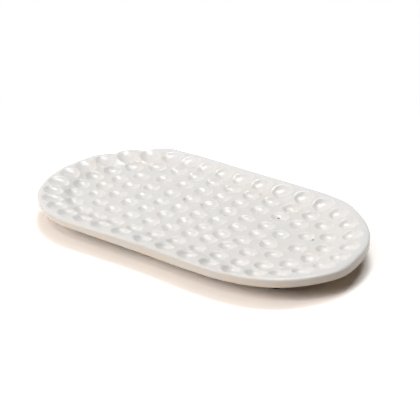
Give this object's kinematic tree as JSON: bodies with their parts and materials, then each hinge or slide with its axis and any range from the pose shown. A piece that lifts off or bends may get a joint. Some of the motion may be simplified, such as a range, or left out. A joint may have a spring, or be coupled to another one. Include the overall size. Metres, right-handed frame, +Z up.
{
  "type": "soap dish",
  "caption": "Shallow glazed stoneware soap dish with a racetrack outline, rings of pressed drainage dimples, an upturned rim and stick-on rubber feet.",
  "frame": {"origin": "on the surface that the dish stands on, under the middle of the dish", "axes": "+Z up, +X along the dish, +Y across it, towards the side that is far in the picture"},
  "size_m": [0.152, 0.085, 0.0106],
  "materials": {
    "glazed_stoneware": "glossy off-white glaze",
    "foot_rubber": "matt black rubber",
    "adhesive_film": "pale double-sided film"
  },
  "bodies": {
    "root": {"dish_body": "glazed_stoneware", "foot_near_right": "foot_rubber", "foot_near_left": "foot_rubber", "foot_far_right": "foot_rubber", "foot_far_left": "foot_rubber", "tape_near_right": "adhesive_film", "tape_near_left": "adhesive_film", "tape_far_right": "adhesive_film", "tape_far_left": "adhesive_film"}
  },
  "joints": []
}
